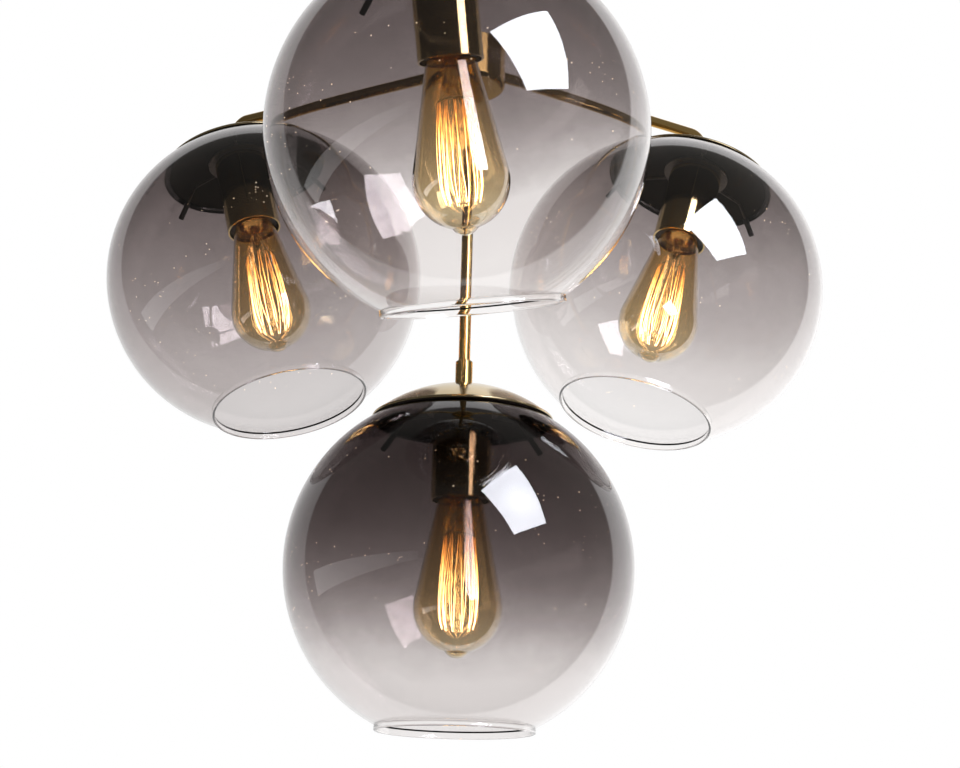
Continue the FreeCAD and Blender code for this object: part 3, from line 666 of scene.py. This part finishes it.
def screw_cap(name, lamp, metal, black):
    """A bulb's screw cap: rolled thread, shoulder, black insulator and contact."""
    outline = [(BASE_RADIUS - 1.1, BASE_FOOT), (BASE_RADIUS - 0.2, BASE_FOOT + 0.25)]
    for step in range(THREAD_TURNS * THREAD_STEPS + 1):
        outline.append((BASE_RADIUS, BASE_FOOT + THREAD_FADE + step / THREAD_STEPS * THREAD_PITCH))
    shoulder = outline[-1][1] + THREAD_FADE
    insulator = BASE_TOP - INSULATOR_DROP
    outline += [
        (BASE_RADIUS * 0.82, shoulder),
        (BASE_RADIUS * 0.52, insulator),
        (BASE_RADIUS * 0.44, insulator),
        (0, insulator),
    ]
    piece = new_piece(
        f"{name}_screw_cap", lathe(f"{name}_screw_cap", outline, lamp, segments=72, groove=thread), metal,
        f"{name}_bulb_screw")
    button = [
        (BASE_RADIUS * 0.44, BASE_TOP - 2.4),
        (BASE_RADIUS * 0.40, BASE_TOP - 1.2),
        (BASE_RADIUS * 0.30, BASE_TOP - 0.7),
        (BASE_RADIUS * 0.20, BASE_TOP - 0.1),
        (0, BASE_TOP - 0.05),
    ]
    new_piece(
        f"{name}_cap_button", lathe(f"{name}_cap_button", button, lamp, segments=48), black,
        f"{name}_bulb_screw")
    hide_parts(f"{name}_bulb_base")


def strand(draw, hook, side):
    """One strand of the cage, from beside a hook above to beside a hook below, with a slight sway."""
    upper = 2 * math.pi * (hook + side * 0.1) / HOOK_COUNT
    lower = 2 * math.pi * (hook + side * 0.4) / HOOK_COUNT
    sway = draw.uniform(-0.9, 0.9)
    twist = draw.uniform(-0.14, 0.14)
    points = []
    for step in range(STRAND_STEPS + 1):
        share = step / STRAND_STEPS
        bow = math.sin(math.pi * share)
        angle = upper + (lower - upper) * share + (twist + 0.02 * draw.uniform(-1, 1)) * bow
        inset = CAGE_TOP_INSET * (1 - share) ** 2 + CAGE_FOOT_INSET * share ** 8
        radius = CAGE_RADIUS - inset + sway * bow
        height = CAGE_TOP + (CAGE_FOOT - CAGE_TOP) * share
        points.append((radius * math.cos(angle), radius * math.sin(angle), height))
    return points


def filament(name, lamp, hot):
    """Squirrel cage: one long wire up and down between hooks above and below."""
    draw = random.Random(name)
    strands = [strand(draw, hook, side) for hook in range(HOOK_COUNT) for side in (-1, 1)]
    piece = new_piece(
        f"{name}_filament_wire", wires(f"{name}_filament_wire", strands, STRAND_RADIUS, lamp), hot,
        f"{name}_bulb")
    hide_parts(f"{name}_bulb_filament")


def hook_wires(level, reach, rise, shift, curl):
    """A ring of thin wires from the glass rod, a rise above a level, out to hooks there.

    shift turns the ring by a share of a hook's spacing; a positive curl starts each hook from below.
    """
    lines = []
    for hook in range(HOOK_COUNT):
        angle = 2 * math.pi * (hook + shift) / HOOK_COUNT
        out = Vector((math.cos(angle), math.sin(angle), 0))
        line = [
            out * 1.2 + UP * (level + rise),
            out * reach * 0.55 + UP * (level + rise * 0.8),
            out * (reach - 0.5) + UP * (level + rise * 0.25),
        ]
        for step in range(HOOK_STEPS + 1):
            turn = math.pi * step / HOOK_STEPS
            hook_reach = reach - 0.1 + HOOK_RADIUS * math.sin(turn)
            line.append(out * hook_reach + UP * (level - curl * math.cos(turn)))
        lines.append(line)
    return lines


def supports(name, lamp, metal):
    """Thin wires from the glass rod out to the hooks, and the two lead-in wires above."""
    lines = hook_wires(CAGE_TOP, CAGE_RADIUS - CAGE_TOP_INSET, 3.5, 0, -HOOK_RADIUS)
    lines += hook_wires(CAGE_FOOT, CAGE_RADIUS - CAGE_FOOT_INSET, 7, 0.5, HOOK_RADIUS)
    for side in (-1, 1):
        lines.append([
            (side * 3.2, 0, BASE_FOOT + 2),
            (side * 3.4, 0, -12),
            (side * 4.5, 0, -20),
            (side * 7.5, 0, CAGE_TOP + 4),
            (side * (CAGE_RADIUS - 3), 0, CAGE_TOP + 0.5),
        ])
    new_piece(
        f"{name}_support_wires", wires(f"{name}_support_wires", lines, SUPPORT_RADIUS, lamp), metal,
        f"{name}_bulb")


# ---------------------------------------------------------------- building

def lamp_frames():
    """Each lamp's frame from the joint that turns its bulb: the joint's axis points down the lamp."""
    found = {}
    for joint in frame["joints"]:
        if joint["name"].endswith("_bulb_turn"):
            up = -Vector(joint["axis"])
            turn = UP.rotation_difference(up).to_matrix().to_4x4()
            found[joint["name"].split("_")[0]] = Matrix.Translation(joint["pos_m"]) @ turn
    return found


def paint(node, material):
    """Give one of the model's own parts a material."""
    mesh = frame["nodes"][node].data
    mesh.materials.clear()
    mesh.materials.append(material)


def dress():
    """Materials for the model's own parts, and the pieces that stand for some of them."""
    lamps = lamp_frames()
    satin = brass("satin_brass", (0.76, 0.53, 0.22), (0.68, 0.46, 0.18), 0.13)
    cap_metal = brass("bulb_cap_metal", (0.80, 0.64, 0.38), (0.6, 0.44, 0.24), 0.2, (500, 500, 500))
    steel = plated_steel()
    rubber = soft_black("black_rubber", 0.5, 600)
    phenolic = soft_black("black_phenolic", 0.42, 350)
    clear = clear_glass()
    # Grains whose glow is a painted glint of the filaments' light.
    grain = painted_glint_grain()
    for node in STEEL_NODES:
        paint(node, steel)
    for node in BRASS_NODES:
        paint(node, satin)
    paint("clip_sleeves", rubber)
    for name in LAMPS:
        lamp = lamps[name]
        paint(f"{name}_coupler", satin)
        paint(f"{name}_cap", turned_brass(
            f"{name}_cap_brass", (0.68, 0.54, 0.33), (0.60, 0.47, 0.27), 0.14, lamp, dark_underside=True))
        paint(f"{name}_socket_cup", turned_brass(
            f"{name}_dark_brass", (0.74, 0.59, 0.30), (0.62, 0.49, 0.24), 0.1, lamp))
        paint(f"{name}_clip", steel)
        paint(f"{name}_lampholder", phenolic)
        paint(f"{name}_socket_shell", cap_metal)
        paint(f"{name}_bulb_mount", clear)
        globe(name, lamp, smoke_glass(name, lamp, SMOKE[name]))
        seeds(name, lamp, grain)
        bulb_glass(name, lamp, amber_glass(name, lamp))
        screw_cap(name, lamp, cap_metal, phenolic)
        filament(name, lamp, hot_wire(name, lamp))
        supports(name, lamp, steel)


# ---------------------------------------------------------------- stage, light and camera

def seen_in_mirror(tree):
    """1 for light paths that some glass or metal has reflected on their way, else 0."""
    return math_node(tree, "GREATER_THAN", add(tree, "ShaderNodeLightPath").outputs["Glossy Depth"], 0.5)


def world():
    """White for the camera, also straight through glass, a studio for mirrors, and grey light for the rest.

    The studio is dim in front and white behind; it and the grey light are brighter at the right.
    """
    backdrop_edge = 0.73
    scene_world = bpy.data.worlds.new("studio")
    bpy.context.scene.world = scene_world
    scene_world.use_nodes = True
    tree = scene_world.node_tree
    tree.nodes.clear()
    way = add(tree, "ShaderNodeTexCoord").outputs["Generated"]
    parts = add(tree, "ShaderNodeSeparateXYZ", Vector=way)
    studio = ramp(tree, spread(tree, parts.outputs["Y"], -1, 1), [
        (0.0, (0.13, 0.125, 0.115)),
        (backdrop_edge - 0.015, (0.16, 0.155, 0.145)),
        (backdrop_edge, WHITE),
    ])
    path = add(tree, "ShaderNodeLightPath")
    straight = math_node(tree, "SUBTRACT", 1.0, seen_in_mirror(tree))
    through = math_node(tree, "MULTIPLY", path.outputs["Is Transmission Ray"], straight)
    plain = math_node(tree, "MAXIMUM", path.outputs["Is Camera Ray"], through)
    shown = mix_colour(tree, plain, studio, WHITE)
    colour = mix_colour(tree, path.outputs["Is Diffuse Ray"], shown, (0.75, 0.75, 0.76))
    side = spread(tree, parts.outputs["X"], -0.8, 0.8, 0.6, 1.3)
    background = add(
        tree, "ShaderNodeBackground", Color=colour, Strength=spread(tree, plain, 0, 1, side, 1.0))
    out = add(tree, "ShaderNodeOutputWorld")
    tree.links.new(background.outputs[0], out.inputs["Surface"])


def softbox(name, centre, across, up, heart, colour, glow, reach):
    """Flat glowing panel that shows only in reflections, most of all in glass.

    across and up run from its centre to its edges.  Its glow fades from the first to the second value
    over a reach from its heart.
    """
    build = bmesh.new()
    corners = [centre - across - up, centre + across - up, centre + across + up, centre - across + up]
    build.faces.new([build.verts.new(corner) for corner in corners])
    mesh = mesh_of(build, name)
    panel = bpy.data.objects.new(name, mesh)
    bpy.context.scene.collection.objects.link(panel)
    material = new_material(name)
    tree = material.node_tree
    path = add(tree, "ShaderNodeLightPath")
    power = spread(tree, distance_from(tree, heart), 0.0, reach, *glow)
    sharpness = spread(tree, path.outputs["Is Singular Ray"], 0, 1, GLOW_ON_METAL, 1)
    power = math_node(tree, "MULTIPLY", power, sharpness)
    inside_globe = math_node(tree, "GREATER_THAN", path.outputs["Transmission Depth"], WALL_CROSSINGS)
    power = math_node(tree, "MULTIPLY", power, spread(tree, inside_globe, 0, 1, 1, GLOW_IN_GLOBE))
    output(tree, add(tree, "ShaderNodeEmission", Color=(*colour, 1), Strength=power).outputs[0])
    mesh.materials.append(material)
    panel.visible_camera = False
    panel.visible_diffuse = False
    panel.visible_shadow = False


def ground():
    """Pale floor well below the lamps; neither glass nor metal shows it."""
    build = bmesh.new()
    bmesh.ops.create_grid(build, x_segments=8, y_segments=8, size=6)
    mesh = mesh_of(build, "floor")
    floor = bpy.data.objects.new("floor", mesh)
    floor.location.z = FLOOR_HEIGHT
    bpy.context.scene.collection.objects.link(floor)
    material = new_material("floor")
    tree = material.node_tree
    tone = mix_colour(tree, noise(tree, place(tree), 3), (0.90, 0.90, 0.90), (0.88, 0.88, 0.88))
    shader = add(tree, "ShaderNodeBsdfPrincipled", Base_Color=tone, Roughness=0.8)
    output(tree, shader.outputs[0])
    mesh.materials.append(material)
    floor.visible_glossy = False
    floor.visible_transmission = False


def stage():
    """The floor, a softbox at the front right and a long dim strip at the left."""
    ground()
    softbox(
        "softbox_right",
        centre=Vector((0.833, -1.054, -0.031)), across=Vector((0.170, 0.315, 0.102)),
        up=Vector((0.37, -0.20, -0.27)), heart=Vector((0.82, -0.99, 0.01)),
        colour=(0.88, 0.92, 1.0), glow=(23.0, 18.0), reach=0.36,
    )
    softbox(
        "strip_left",
        centre=Vector((-1.2, -1.15, -0.9)), across=Vector((0, 1.4, 0)),
        up=Vector((0, 0, 0.11)), heart=Vector((-1.2, 0.25, -0.9)),
        colour=WHITE, glow=(1.0, 0.2), reach=2.6,
    )


def camera():
    """Below the globes, looking up at them."""
    data = bpy.data.cameras.new("camera")
    data.sensor_width = SENSOR_WIDTH
    data.lens = FOCAL_LENGTH / PICTURE_WIDTH * SENSOR_WIDTH
    view = bpy.data.objects.new("camera", data)
    bpy.context.scene.collection.objects.link(view)
    turn = Matrix.Rotation(math.radians(CAMERA_YAW), 4, "Z")
    turn = turn @ Matrix.Rotation(math.radians(90 + CAMERA_PITCH), 4, "X")
    turn = turn @ Matrix.Rotation(math.radians(CAMERA_ROLL), 4, "Z")
    view.matrix_world = Matrix.Translation(CAMERA_PLACE) @ turn
    bpy.context.scene.camera = view


def settings():
    """Plain colours, and enough bounces for light to cross all four globes and their bulbs."""
    scene = bpy.context.scene
    scene.view_settings.view_transform = "Standard"
    scene.cycles.max_bounces = GLASS_BOUNCES
    scene.cycles.transmission_bounces = GLASS_BOUNCES
    scene.cycles.glossy_bounces = MIRROR_BOUNCES
    scene.cycles.transparent_max_bounces = GLASS_BOUNCES


dress()
world()
stage()
camera()
settings()
